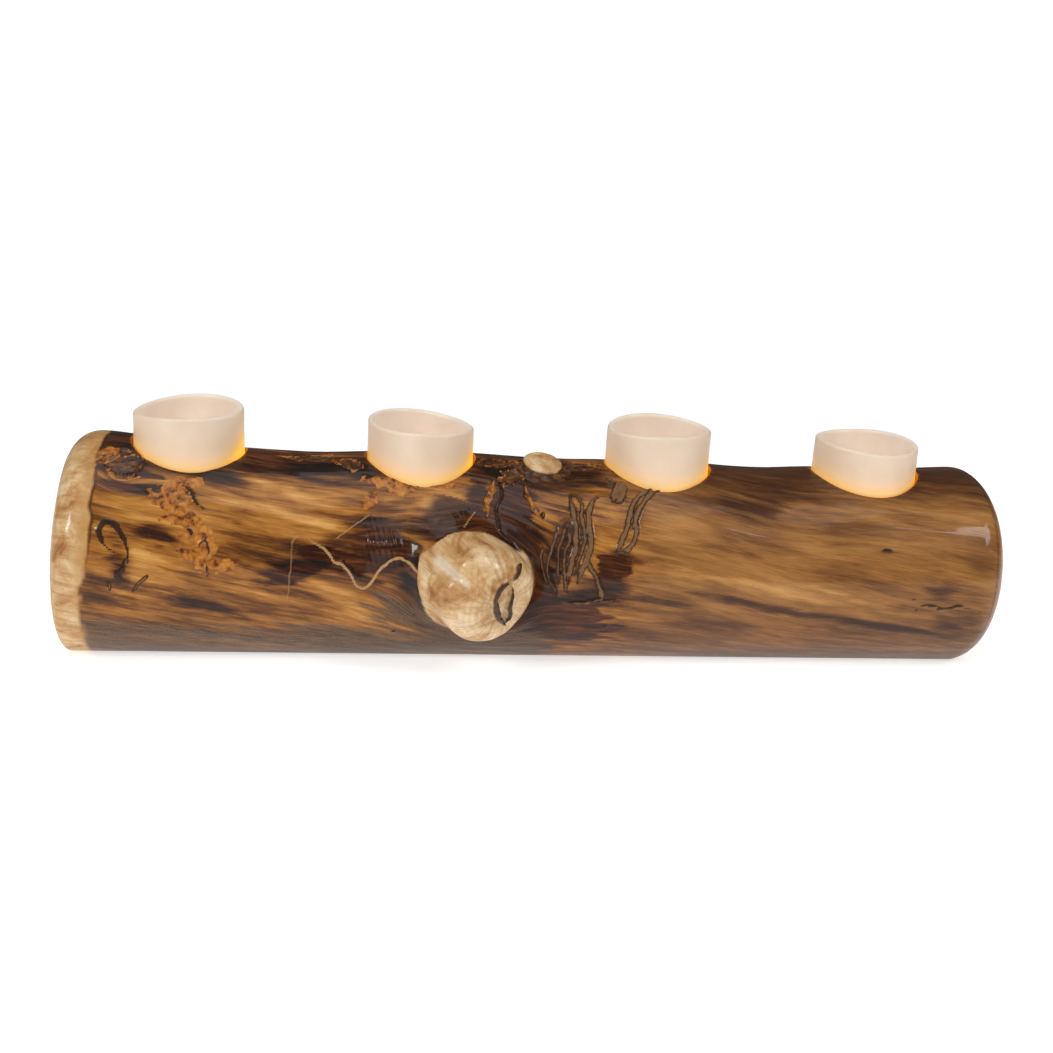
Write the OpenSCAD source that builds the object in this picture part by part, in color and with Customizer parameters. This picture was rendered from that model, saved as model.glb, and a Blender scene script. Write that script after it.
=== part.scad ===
// Peeled aspen log with four drilled seats, each holding a flameless votive candle.
// Millimetres. The origin is the centre of the sawn base. +X runs along the log to its thin
// end, -Y is the side that the branch stub leans out of, and +Z is up.

/* [Log] */
// Length over the rounded ends
log_length = 444; // [420:1:480]
// Thickness of the trunk at its butt end
butt_d = 99; // [97:0.5:104]
// Thickness of the trunk at its thin end
tip_d = 97.5; // [94:0.5:99]
// Width of the sawn base at mid length
base_w = 48; // [40:1:56]
// How much thicker the butt swells beyond the first seat
butt_swell = 5; // [0:0.5:10]
// Round-over of the butt's rim, at the crest
butt_round = 14; // [10:1:20]
// Round-over of the thin end's rim, at the crest
tip_round = 13; // [8:1:20]
// Round-over of the butt's rim beside the base
butt_foot_round = 3; // [2:0.5:8]
// Round-over of the thin end's rim beside the base
tip_foot_round = 14; // [4:1:16]
// Height of the lumps left on the peeled surface
lump_h = 0.7; // [0:0.1:1.2]

/* [Branch stub] */
// Thickness of the stub
stub_d = 46; // [38:1:48]
// How far its cut face stands out of the trunk, along the stub
stub_out = 21; // [18:1:25]
// Round-over of its cut face
stub_round = 11; // [6:0.5:12]
// Where its axis leaves the trunk, along the log
stub_x = -35; // [-40:1:-30]
// Lean of the stub towards the thin end, degrees
stub_lean = 32; // [20:1:36]
// Droop of the stub below level, degrees
stub_droop = 12; // [5:1:20]

/* [Top knot] */
// Thickness of the small knot on the crest
knot_d = 19; // [14:1:22]
// How far its cut face stands out of the crest
knot_out = 4; // [3:0.5:8]
// Where it leaves the crest, along the log
knot_x = -2; // [-6:1:4]

/* [Seats] */
// Bore of each seat
seat_d = 53; // [52.6:0.2:54]
// Height of the seats' floors above the base, from the butt to the thin end
seat_floors = [67, 63.5, 65, 61]; // [58:0.5:68]

/* [Candle] */
// Outside of the wax at its foot
candle_d = 51; // [50.6:0.1:51.4]
// Outside of the wax at its rim
candle_top_d = 50; // [49:0.1:50.6]
// Height from the foot to the mean of the melted rim
candle_h = 45; // [42:0.5:50]
// Thickness of the wax at the foot
wax_wall = 3; // [2.6:0.1:3.1]

/* [Electronics] */
// Diameter of the coin cell
cell_d = 24.5; // [24:0.1:24.5]
// Thickness of the coin cell
cell_t = 5; // [4.6:0.1:5]
// Diameter of the battery door
door_d = 27.6; // [27.2:0.1:27.6]
// Throw of the slide switch
switch_throw = 2; // [1.5:0.1:2]

/* [Hidden] */
$fn = 96;

// ---- Places that follow from the driving dimensions ----
half = log_length / 2;
// Where the trunk swells or narrows: [place, half length, change of radius]
swells = [[-215, 85, butt_swell / 2], [-112, 32, -0.6], [112, 48, -1.1], [215, 50, 0.8]];
base_half = base_w / 2;
seats = [-167, -59.5, 55.5, 160.5];   // hand drilled, so not evenly spaced
stub_z = 45.5;
stub_reach = 30;             // radius of the collar around the stub
knot_reach = 19;             // radius of the collar around the knot
stub_dir = [
    sin(stub_lean) * cos(stub_droop),
    -cos(stub_lean) * cos(stub_droop),
    -sin(stub_droop),
];
knot_tilt = 16;              // the knot leans to the front and a little to the thin end
knot_side = 6;
knot_dir = [
    sin(knot_side),
    -sin(knot_tilt) * cos(knot_side),
    cos(knot_tilt) * cos(knot_side),
];

// ---- The log's skin ----
// Rings of points around the trunk, from the butt to the thin end. Each ring is an arc over
// the top and a straight line across the sawn base.
arc_steps = 40;
front_steps = 25;            // of these, up to the angle front_to
front_to = 75;
flat_steps = 4;
ring_size = arc_steps + flat_steps;
end_steps = 5;

function lerp(a, b, t) = a + (b - a) * t;
function clamp01(t) = max(0, min(1, t));
function smooth(t) = let(c = clamp01(t)) c * c * (3 - 2 * c);

// Radius of the trunk, before its rims are rounded over
function trunk_r(x) =
    lerp(butt_d, tip_d, (x + half) / log_length) / 2
    + [for (s = swells) s[2]] * [for (s = swells) smooth(1 - abs(x - s[0]) / s[1])];

// Height of the pith: where it has to be for the sawn base to have its width
function pith_z(x) = sqrt(pow(trunk_r(x), 2) - pow(base_half, 2));

function crest(x) = pith_z(x) + trunk_r(x);

// Low lumps of the peeled wood, as a wave along the log and around it
function lump(x, a) =
    lump_h * (sin(2.1 * x + 40) * sin(2 * a + 25) + 0.6 * sin(4.3 * x - a) * cos(3 * a + 10))
    * sin(clamp01(a / 180) * 180);

function foot_round(x) = x < 0 ? butt_foot_round : tip_foot_round;

// A rim's round-over, at an angle around the trunk: one size on the crest, another by the base
function round_at(x, a) =
    let(up = 90 - abs(a - 90))
    lerp(foot_round(x), x < 0 ? butt_round : tip_round, smooth((up + 40) / 90));

// A point of the trunk: a is 0 at the front, 90 on the crest and 180 at the back. turn is 90
// on the trunk's side, and falls to 0 over the round-over, where the end face begins.
function skin(x, a, turn = 90) =
    let(
        side = x < 0 ? -1 : 1,
        edge = round_at(x, a),
        place = turn < 90 ? side * (half - edge * (1 - cos(turn))) : x,
        r = trunk_r(place) + lump(place, a) - (turn < 90 ? edge * (1 - sin(turn)) : 0)
    )
    [place, -r * cos(a), max(0, pith_z(place) + r * sin(a))];

// Where the ring meets the sawn base, as an angle below the front
function heel(x, turn) =
    asin(min(0.98, pith_z(x) / (trunk_r(x) - foot_round(x) * (1 - sin(turn)))));

// Angle of one point of the arc: the front, where the stub is, has the shorter steps
function arc_angle(i, h) =
    i < front_steps ? lerp(-h, front_to, i / front_steps)
    : lerp(front_to, 180 + h, (i - front_steps) / (arc_steps - front_steps));

function ring(x, turn = 90) =
    let(h = heel(x, turn), front = skin(x, -h, turn), back = skin(x, 180 + h, turn))
    concat(
        [for (i = [0 : arc_steps - 1]) skin(x, arc_angle(i, h), turn)],
        [for (i = [0 : flat_steps - 1]) lerp(back, front, i / flat_steps)]
    );

// Draw a round stub of wood out of the skin: points near its axis move to a flat cut face with
// a rounded edge, and those further out make its wall and the collar that runs into the trunk.
function sprout(p, root, dir, r_cut, edge, out, reach) =
    let(
        q = p - root,
        t = q * dir,
        w = q - t * dir,
        s = norm(w),
        face_s = reach * 0.28,
        edge_s = reach * 0.56
    )
    s >= reach || t < -reach * 1.3 ? p :
    s < 0.01 ? root + out * dir :
    s < face_s ? root + w * ((r_cut - edge) / face_s) + out * dir :
    s < edge_s ?
        let(turn = 90 * (s - face_s) / (edge_s - face_s))
        root + w / s * (r_cut - edge + edge * sin(turn)) + (out - edge + edge * cos(turn)) * dir :
    let(
        u = (s - edge_s) / (reach - edge_s),
        wall = out - edge - t,
        radius = r_cut + (reach - r_cut) * pow(u, 1 + 2 * smooth(wall / 8)),
        drop = 1 - pow(1 - u, 2)
    )
    root + w / s * radius + lerp(out - edge, t, drop) * dir;

stub_root = [
    stub_x,
    -sqrt(pow(trunk_r(stub_x), 2) - pow(stub_z - pith_z(stub_x), 2)),
    stub_z,
];
knot_root = [knot_x, -9, crest(knot_x) - 2];

function grown(p) =
    sprout(
        sprout(p, stub_root, stub_dir, stub_d / 2, stub_round, stub_out, stub_reach),
        knot_root, knot_dir, knot_d / 2, 2, knot_out, knot_reach
    );

// Stations of the rings: close together over the rims, the stub and the knot
turns = [for (i = [0 : end_steps - 1]) 90 * i / end_steps];
stations = concat(
    [for (x = [-half + butt_round + 3 : 11 : -86]) x],
    [for (x = [-80 : 3.6 : 26]) x],
    [for (x = [36 : 11 : half - tip_round - 3]) x]
);
rings = concat(
    [for (turn = turns) ring(-half, turn)],
    [for (x = stations) ring(x)],
    [for (i = [end_steps - 1 : -1 : 0]) ring(half, turns[i])]
);

module log_skin() {
    n = len(rings);
    m = ring_size;
    points = concat(
        [for (r = rings) each [for (p = r) grown(p)]],
        [[-half, 0, pith_z(-half)], [half, 0, pith_z(half)]]
    );
    sides = [
        for (i = [0 : n - 2], j = [0 : m - 1])
            let(a = i * m + j, b = i * m + (j + 1) % m)
            each [[a, b, b + m], [a, b + m, a + m]]
    ];
    butt = [for (j = [0 : m - 1]) [n * m, (j + 1) % m, j]];
    tip = [for (j = [0 : m - 1]) [n * m + 1, (n - 1) * m + j, (n - 1) * m + (j + 1) % m]];
    polyhedron(points, concat(sides, butt, tip));
}

module log() {
    color("peru") difference() {
        log_skin();
        for (k = [0 : 3]) translate([seats[k], 0, seat_floors[k]]) cylinder(d = seat_d, h = 60);
    }
}

// ---- Candle, with z = 0 at its foot ----
wax_id = candle_d - 2 * wax_wall;
floor_z = 21.5;              // underside of the wax floor
floor_t = 2.5;
wick_hole_d = 12;

cup_d = wax_id - 0.6;
cup_wall = 1.4;
plate_z = 0.8;               // the base plate is set this far into the foot
plate_t = 1.6;
plate_top = plate_z + plate_t;
deck_t = 1.6;
deck_z = floor_z - deck_t;

opening_d = door_d + 0.4;
bay_id = cell_d + 1.6;       // the cell's bay
bay_od = 31.2;
bay_top = 9.6;
ceiling_t = 1.2;
cell_z = 3.5;

lug_turn = 30;               // twist that frees the door
lug_r = 14.2;
lug_half = 8;                // half the lug's angle
lug_places = [45, 225];

screw_r = 18.6;              // screws, on the candle's X axis
screw_d = 2;
screw_boss_z = 4.4;
screw_seat_t = 0.05;         // the heads seat this far below the plate's inner face
contact_t = 0.3;
plus_w = 3.6;
plus_y = cell_d / 2 + 0.05;  // the side contact lies along the cell
minus_x = 9.7;               // the leaf contact rises here
tab_top = 14.8;              // both are soldered just above the board

board_z = 13;
board_t = 1.2;
post_r = 12;                 // heat-staked posts that hold the board
post_places = [45, 135, 225, 315];

switch_y = 17.9;
switch_case_size = [8.6, 4, 3.6];
knob_l = 3.6;
slide_l = knob_l + switch_throw + 0.6;

lens_flange_d = 11.5;
lens_d = 9;
lens_top = 34;
led_z = 16.5;

// A pie-shaped ring from angle a0 to a1
module sector(r0, r1, z, h, a0, a1) {
    rotate([0, 0, a0]) rotate_extrude(angle = a1 - a0) translate([r0, z]) square([r1 - r0, h]);
}

// The melted rim of each candle: [height, direction] of a one-sided and a two-sided wave
rims = [
    [[1.5, 50], [0.7, 80]],
    [[1.7, 150], [0.6, 120]],
    [[0.9, 60], [0.8, 100]],
    [[1.2, 95], [0.7, 30]],
];
function rim_z(k, a) =
    candle_h + rims[k][0][0] * cos(a - rims[k][0][1]) + rims[k][1][0] * cos(2 * (a - rims[k][1][1]));

// Outline of the wax at one direction, from the foot's outer edge over the rim and down
function wax_outline(top) =
    let(
        outer = candle_d / 2,
        lip = candle_top_d / 2,
        inner = lip - wax_wall + 0.1,
        floor_top = floor_z + floor_t
    )
    [
        [outer, 0],
        [lip, top - 1.2],
        [lip - 0.7, top - 0.2],
        [inner + 0.6, top - 0.1],
        [inner, top - 1.2],
        [inner - 0.3, floor_top + 3],
        [inner - 2, floor_top + 0.7],
        [inner - 4, floor_top],
        [wick_hole_d / 2, floor_top],
        [wick_hole_d / 2, floor_z],
        [wax_id / 2, floor_z],
        [wax_id / 2, 0],
    ];

module wax_shell(k) {
    steps = 60;
    n = len(wax_outline(0));
    points = [
        for (i = [0 : steps - 1])
            let(a = 360 * i / steps)
            each [for (p = wax_outline(rim_z(k, a))) [p[0] * cos(a), p[0] * sin(a), p[1]]]
    ];
    faces = [
        for (i = [0 : steps - 1], j = [0 : n - 1])
            let(
                a = i * n + j,
                b = i * n + (j + 1) % n,
                c = (i + 1) % steps * n + (j + 1) % n,
                d = (i + 1) % steps * n + j
            )
            each [[a, b, c], [a, c, d]]
    ];
    color("antiquewhite") polyhedron(points, faces);
}

module core_cup() {
    color("ivory") difference() {
        union() {
            difference() {
                translate([0, 0, plate_top]) cylinder(d = cup_d, h = floor_z - plate_top);
                translate([0, 0, plate_top - 1])
                    cylinder(d = cup_d - 2 * cup_wall, h = deck_z - plate_top + 1);
            }
            for (side = [-1, 1]) translate([side * screw_r, 0, screw_boss_z])
                cylinder(d = 5, h = deck_z - screw_boss_z);
            for (a = post_places) rotate([0, 0, a]) translate([post_r, 0, 0]) post();
        }
        translate([0, 0, deck_z - 1]) cylinder(d = lens_d + 0.2, h = deck_t + 2);
        for (side = [-1, 1]) translate([side * screw_r, 0, screw_boss_z - 1])
            cylinder(d = screw_d + 0.04, h = 9);
    }
}

// A post that hangs from the deck, with its melted head under the board
module post() {
    translate([0, 0, board_z + board_t]) cylinder(d = 3, h = deck_z - board_z - board_t);
    translate([0, 0, board_z - 0.1]) cylinder(d = 1.5, h = board_t + 0.2);
    translate([0, 0, board_z - 0.8]) cylinder(d = 2.6, h = 0.8);
}

module flame_lens() {
    base_z = deck_z - 1;
    color("navajowhite") difference() {
        union() {
            translate([0, 0, base_z]) cylinder(d = lens_flange_d, h = 1);
            rotate_extrude() polygon([
                [0, base_z],
                [lens_d / 2, base_z],
                [lens_d / 2, 24.5],
                [4.7, 25.6],
                [4.6, 27],
                [4.1, 28.8],
                [3.2, 30.8],
                [2.1, 32.6],
                [1.1, 33.6],
                [0, lens_top],
            ]);
        }
        translate([0, 0, base_z - 1]) cylinder(d = 6.2, h = 8);
        translate([0, 0, base_z + 7]) sphere(d = 6.2);
    }
}

module led() {
    leg_x = 1.27;
    color("gold") {
        translate([0, 0, led_z]) cylinder(d = 5.8, h = 1);
        translate([0, 0, led_z + 1]) cylinder(d = 5, h = 5.1);
        translate([0, 0, led_z + 6.1]) sphere(d = 5);
        for (side = [-1, 1]) translate([side * leg_x - 0.25, -0.25, board_z - 0.6])
            cube([0.5, 0.5, led_z - board_z + 0.7]);
    }
}

// Slots that let the two contacts through a layer of thickness t at height z
module contact_slots(z, t) {
    play = 0.2;
    translate([-plus_w / 2 - play, -plus_y - contact_t - play, z - 1])
        cube([plus_w + 2 * play, contact_t + 2 * play, t + 2]);
    translate([-minus_x - play, -1.5 - play, z - 1])
        cube([contact_t + 2 * play, 3 + 2 * play, t + 2]);
}

module circuit_board() {
    color("darkgreen") difference() {
        translate([0, 0, board_z]) cylinder(d = 40.4, h = board_t);
        for (side = [-1, 1]) {
            translate([side * screw_r, 0, board_z - 1]) cylinder(d = 5.8, h = board_t + 2);
            translate([side * 1.27, 0, board_z - 1]) cylinder(d = 0.9, h = board_t + 2);
            translate([side * 2.5, switch_y, board_z - 1]) cylinder(d = 1, h = board_t + 2);
        }
        for (a = post_places) rotate([0, 0, a]) translate([post_r, 0, board_z - 1])
            cylinder(d = 1.6, h = board_t + 2);
        contact_slots(board_z, board_t);
    }
    // Two chip resistors and a capacitor, soldered to the top
    color("dimgray") for (place = [[4, 9.5, 0], [4, -9.5, 90], [-5, 8, 0]])
        translate([place[0], place[1], board_z + board_t]) rotate([0, 0, place[2]])
            translate([-1, -0.6, 0]) cube([2, 1.2, 0.6]);
}

module control_chip() {
    body = [5, 3.9, 1.5];
    color("black") translate([7.2, 0, board_z + board_t]) {
        translate([-body[0] / 2, -body[1] / 2, 0.1]) cube(body);
        for (i = [-1.5 : 1 : 1.5], side = [-1, 1])
            translate([i * 1.27 - 0.2, side * 2.4 - 0.5, 0]) cube([0.4, 1, 0.6]);
    }
}

module switch_case() {
    slot = [4.6, 2.2, 2.6];
    color("silver") translate([0, switch_y, plate_top]) {
        difference() {
            translate([-switch_case_size[0] / 2, -switch_case_size[1] / 2, 0]) cube(switch_case_size);
            translate([-slot[0] / 2, -slot[1] / 2, -0.1]) cube(slot);
        }
        for (side = [-1, 1]) translate([side * 2.5 - 0.3, -0.3, switch_case_size[2] - 0.2])
            cube([0.6, 0.6, board_z + board_t - plate_top - switch_case_size[2] + 0.7]);
    }
}

// Drawn in its on position, at one end of its throw
module switch_knob() {
    color("black") translate([-switch_throw / 2, switch_y, 0]) {
        translate([-knob_l / 2, -1.2, plate_z + 0.2]) cube([knob_l, 2.4, 1.3]);
        translate([-1, -0.8, plate_z + 1.4]) cube([2, 1.6, 2.4]);
        for (i = [-1 : 1]) translate([i * 1.1 - 0.2, -1.2, plate_z]) cube([0.4, 2.4, 0.3]);
    }
}

module coin_cell() {
    crimp = 0.8;
    color("silver") {
        translate([0, 0, cell_z]) cylinder(d = cell_d, h = cell_t - crimp);
        translate([0, 0, cell_z + cell_t - crimp - 0.01]) cylinder(d = cell_d - 2.4, h = crimp + 0.01);
    }
}

// Strip along the cell's side, up through the ceiling to the board
module contact_plus() {
    color("goldenrod") translate([-plus_w / 2, -plus_y - contact_t, 4])
        cube([plus_w, contact_t, tab_top - 4]);
}

// Leaf that bears on the middle of the cell and rises to the board at its far end
module contact_minus() {
    cell_top = cell_z + cell_t;
    color("goldenrod") translate([0, 1.5, 0]) rotate([90, 0, 0]) linear_extrude(3) polygon([
        [-minus_x, tab_top],
        [-minus_x, bay_top - contact_t],
        [0, cell_top],
        [3, cell_top + 0.6],
        [3, cell_top + 0.6 + contact_t],
        [0, cell_top + contact_t],
        [contact_t - minus_x, bay_top],
        [contact_t - minus_x, tab_top],
    ]);
}

module base_plate() {
    color("ivory") difference() {
        union() {
            translate([0, 0, plate_z]) cylinder(d = cup_d, h = plate_t);
            translate([0, 0, plate_top - 0.1]) cylinder(d = bay_od, h = bay_top + ceiling_t - plate_top + 0.1);
            for (side = [-1, 1]) translate([side * screw_r, 0, plate_top - 0.1])
                cylinder(d = 5, h = screw_boss_z - plate_top + 0.1);
        }
        // The door's opening, then the cell's bay above it
        translate([0, 0, plate_z - 1]) cylinder(d = opening_d, h = plate_t + 1);
        translate([0, 0, plate_z - 1]) cylinder(d = bay_id, h = bay_top - plate_z + 1);
        // The grooves that the door's lugs turn in, and the notches that let them in
        for (a = lug_places) {
            sector(bay_id / 2 - 1, lug_r + 0.3, 2.9, 1.2, a - lug_half - 2, a + lug_turn + lug_half + 2);
            sector(bay_id / 2 - 1, lug_r + 0.2, plate_z - 1, 3.4, a + lug_turn - lug_half - 1,
                a + lug_turn + lug_half + 1);
        }
        for (side = [-1, 1]) translate([side * screw_r, 0, 0]) {
            cylinder(d = 4.2, h = plate_top - screw_seat_t);
            cylinder(d = screw_d + 0.3, h = screw_boss_z + 1);
        }
        translate([-slide_l / 2, switch_y - 1.5, plate_z - 1]) cube([slide_l, 3, plate_t + 2]);
        contact_slots(bay_top, ceiling_t);
    }
}

module base_screws() {
    head_t = 1.2;
    head_z = plate_top - screw_seat_t - head_t;
    color("silver") for (side = [-1, 1]) translate([side * screw_r, 0, 0]) difference() {
        union() {
            translate([0, 0, head_z]) cylinder(d = 3.7, h = head_t);
            translate([0, 0, plate_top - 0.1]) cylinder(d = screw_d, h = 8);
        }
        for (turn = [0, 90]) rotate([0, 0, turn]) translate([-1.1, -0.25, head_z - 0.1])
            cube([2.2, 0.5, 0.7]);
    }
}

module battery_door() {
    color("ivory") difference() {
        union() {
            translate([0, 0, plate_z]) cylinder(d = door_d, h = plate_t - 0.05);
            translate([0, 0, plate_z + 0.5]) cylinder(d = bay_id - 0.6, h = cell_z - plate_z - 0.6);
            for (a = lug_places) sector(10, lug_r, 3.05, 0.85, a - lug_half, a + lug_half);
        }
        // The spigot is a ring, and a coin fits the slot in its face
        translate([0, 0, plate_top]) cylinder(d = cell_d + 0.1 - 3, h = 3);
        translate([0, 0, cell_z - 0.1]) cylinder(d = cell_d + 0.1, h = 3);
        translate([-7, -0.9, plate_z - 1]) cube([14, 1.8, 1.9]);
    }
}

// ---- Nodes ----
PIECES = [
    "wax_shell", "core_cup", "flame_lens", "led", "circuit_board", "control_chip", "switch_case",
    "switch_knob", "coin_cell", "contact_plus", "contact_minus", "base_plate", "base_screws",
    "battery_door",
];
function candle_node(k, piece) = str("candle_", k + 1, "_", piece);

module candle_piece(k, piece) {
    translate([seats[k], 0, seat_floors[k]]) {
        if (piece == "wax_shell") wax_shell(k);
        if (piece == "core_cup") core_cup();
        if (piece == "flame_lens") flame_lens();
        if (piece == "led") led();
        if (piece == "circuit_board") circuit_board();
        if (piece == "control_chip") control_chip();
        if (piece == "switch_case") switch_case();
        if (piece == "switch_knob") switch_knob();
        if (piece == "coin_cell") coin_cell();
        if (piece == "contact_plus") contact_plus();
        if (piece == "contact_minus") contact_minus();
        if (piece == "base_plate") base_plate();
        if (piece == "base_screws") base_screws();
        if (piece == "battery_door") battery_door();
    }
}

log();
for (k = [0 : 3], piece = PIECES)
    candle_piece(k, piece);
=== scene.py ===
import math

import bmesh
import bpy
import numpy as np
from mathutils import Matrix, Vector


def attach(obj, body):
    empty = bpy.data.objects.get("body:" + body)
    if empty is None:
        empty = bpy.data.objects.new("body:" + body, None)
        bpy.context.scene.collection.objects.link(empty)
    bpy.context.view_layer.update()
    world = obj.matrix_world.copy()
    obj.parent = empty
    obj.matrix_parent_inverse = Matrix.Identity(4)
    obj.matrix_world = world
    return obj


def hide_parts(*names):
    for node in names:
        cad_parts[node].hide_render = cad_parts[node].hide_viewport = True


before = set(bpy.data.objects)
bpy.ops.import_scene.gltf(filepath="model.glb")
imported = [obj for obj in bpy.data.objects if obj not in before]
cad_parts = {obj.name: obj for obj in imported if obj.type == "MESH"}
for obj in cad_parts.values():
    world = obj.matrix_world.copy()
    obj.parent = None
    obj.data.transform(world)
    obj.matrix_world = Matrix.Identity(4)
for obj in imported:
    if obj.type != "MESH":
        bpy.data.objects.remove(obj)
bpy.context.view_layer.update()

MM = 0.001
FAR = 99.0              # a distance that means "not near", in mm
SHARP = math.radians(50)

# ---- Shape of the log, in millimetres and degrees: the same functions as part.scad
LENGTH, BUTT_D, TIP_D, BASE_W = 444, 99, 97.5, 48
HALF = LENGTH / 2
SWELLS = [(-215, 85, 2.5), (-112, 32, -0.6), (112, 48, -1.1), (215, 50, 0.8)]
BUTT_ROUND, TIP_ROUND, BUTT_FOOT_ROUND, TIP_FOOT_ROUND = 14, 13, 3, 14
LUMP_H = 0.7
PLAIN_HALF = 205        # the skin between the rounded ends runs from -205 to 205 mm
SEATS = [-167, -59.5, 55.5, 160.5]
SEAT_FLOORS = [67, 63.5, 65, 61]
SEAT_D = 53
STUB = {"d": 46, "edge": 11, "out": 21, "reach": 30}
KNOT = {"d": 19, "edge": 2, "out": 4, "reach": 19}
SEAT_CUTTER_H, SEAT_SIDES = 60, 144
CANDLE_D, CANDLE_TOP_D, CANDLE_H, WAX_WALL = 51, 50, 45, 3
WAX_FLOOR, WAX_UNDER, CUP_R, WICK_HOLE_R = 24, 21.5, 22.5, 6
# Waves of each melted rim, one and two to the turn: height in mm and where the crest is
RIMS = [((1.5, 50), (0.7, 80)), ((1.7, 150), (0.6, 120)),
        ((0.9, 60), (0.8, 100)), ((1.2, 95), (0.7, 30))]
ARC_MM = 0.855          # length of one degree around the trunk


def sin(angle):
    return np.sin(np.radians(angle))


def cos(angle):
    return np.cos(np.radians(angle))


def lerp(a, b, t):
    return a + (b - a) * t


def smooth(t):
    c = np.clip(t, 0, 1)
    return c * c * (3 - 2 * c)


def trunk_r(x):
    swell = sum(s[2] * smooth(1 - np.abs(x - s[0]) / s[1]) for s in SWELLS)
    return lerp(BUTT_D, TIP_D, (x + HALF) / LENGTH) / 2 + swell


def pith_z(x):
    return np.sqrt(trunk_r(x) ** 2 - (BASE_W / 2) ** 2)


def lump(x, a):
    wave = sin(2.1 * x + 40) * sin(2 * a + 25) + 0.6 * sin(4.3 * x - a) * cos(3 * a + 10)
    return LUMP_H * wave * sin(np.clip(a, 0, 180))


def foot_round(side):
    return BUTT_FOOT_ROUND if side < 0 else TIP_FOOT_ROUND


def round_at(side, a):
    up = 90 - np.abs(a - 90)
    return lerp(foot_round(side), BUTT_ROUND if side < 0 else TIP_ROUND, smooth((up + 40) / 90))


def sprout(p, root, axis, shape):
    """Moves the points near an axis out of the trunk, into a stub with a rounded cut face."""
    r_cut, edge, out, reach = shape["d"] / 2, shape["edge"], shape["out"], shape["reach"]
    q = p - root
    t = q @ axis
    w = q - t[..., None] * axis
    s = np.linalg.norm(w, axis=-1)
    unit = w / np.maximum(s, 1e-6)[..., None]
    face_s, edge_s = 0.28 * reach, 0.56 * reach
    turn = 90 * (s - face_s) / (edge_s - face_s)
    u = np.clip((s - edge_s) / (reach - edge_s), 0, 1)
    wall = out - edge - t
    wall_radius = r_cut + (reach - r_cut) * u ** (1 + 2 * smooth(wall / 8))
    zones = [s < face_s, s < edge_s]
    face_r = r_cut - edge
    radius = np.select(zones, [s * face_r / face_s, face_r + edge * sin(turn)], wall_radius)
    wall_depth = lerp(out - edge, t, 1 - (1 - u) ** 2)
    depth = np.select(zones, [out + 0 * s, out - edge + edge * cos(turn)], wall_depth)
    moved = root + unit * radius[..., None] + depth[..., None] * axis
    near = (s < reach) & (t > -1.3 * reach)
    return np.where(near[..., None], moved, p), np.where(near, s, FAR)


def direction(lean, droop):
    return np.array([sin(lean) * cos(droop), -cos(lean) * cos(droop), -sin(droop)])


STUB_X, STUB_Z = -35, 45.5
STUB_AXIS = direction(32, 12)
STUB_Y = -math.sqrt(trunk_r(STUB_X) ** 2 - (STUB_Z - pith_z(STUB_X)) ** 2)
STUB_ROOT = np.array([STUB_X, STUB_Y, STUB_Z])
KNOT_X = -2
KNOT_AXIS = np.array([sin(6), -sin(16) * cos(6), cos(16) * cos(6)])
KNOT_ROOT = np.array([KNOT_X, -9, pith_z(KNOT_X) + trunk_r(KNOT_X) - 2])

# ---- Tools for marks on the skin. A place is (mm along the log, degrees up from the front).


def field(u, v, cell_u, cell_v, seed):
    """Smooth random values from -1 to 1, with cells of that size in millimetres."""
    size = 97
    table = np.random.RandomState(seed).uniform(-1, 1, (size, size))
    fu, fv = u / cell_u + 400, v / cell_v + 400
    iu, iv = np.floor(fu).astype(int), np.floor(fv).astype(int)
    tu, tv = smooth(fu - iu), smooth(fv - iv)

    def at(i, j):
        return table[(iu + i) % size, (iv + j) % size]
    return lerp(lerp(at(0, 0), at(1, 0), tu), lerp(at(0, 1), at(1, 1), tu), tv)


def curve(points, step=0.8):
    """A smooth line through the points, in many short pieces, in mm."""
    p = np.array([(x, a * ARC_MM) for x, a in points], float)
    ends = np.vstack([2 * p[0] - p[1], p, 2 * p[-1] - p[-2]])
    line = []
    for i in range(len(p) - 1):
        a, b, c, d = ends[i:i + 4]
        n = max(2, int(np.linalg.norm(c - b) / step))
        for t in np.linspace(0, 1, n, endpoint=False):
            line.append(0.5 * (2 * b + (c - a) * t + (2 * a - 5 * b + 4 * c - d) * t * t
                               + (3 * b - a - 3 * c + d) * t ** 3))
    line.append(p[-1])
    return np.array(line)


def line_distance(p, line):
    """Distance from each point to a line, and how far along the line the nearest place is."""
    best, along = np.full(len(p), FAR), np.zeros(len(p))
    for i in range(len(line) - 1):
        a, d = line[i], line[i + 1] - line[i]
        t = np.clip(((p - a) @ d) / max(d @ d, 1e-9), 0, 1)
        r = np.linalg.norm(p - a - t[:, None] * d, axis=1)
        closer = r < best
        best[closer] = r[closer]
        along[closer] = (i + t[closer]) / (len(line) - 1)
    return best, along


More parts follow.
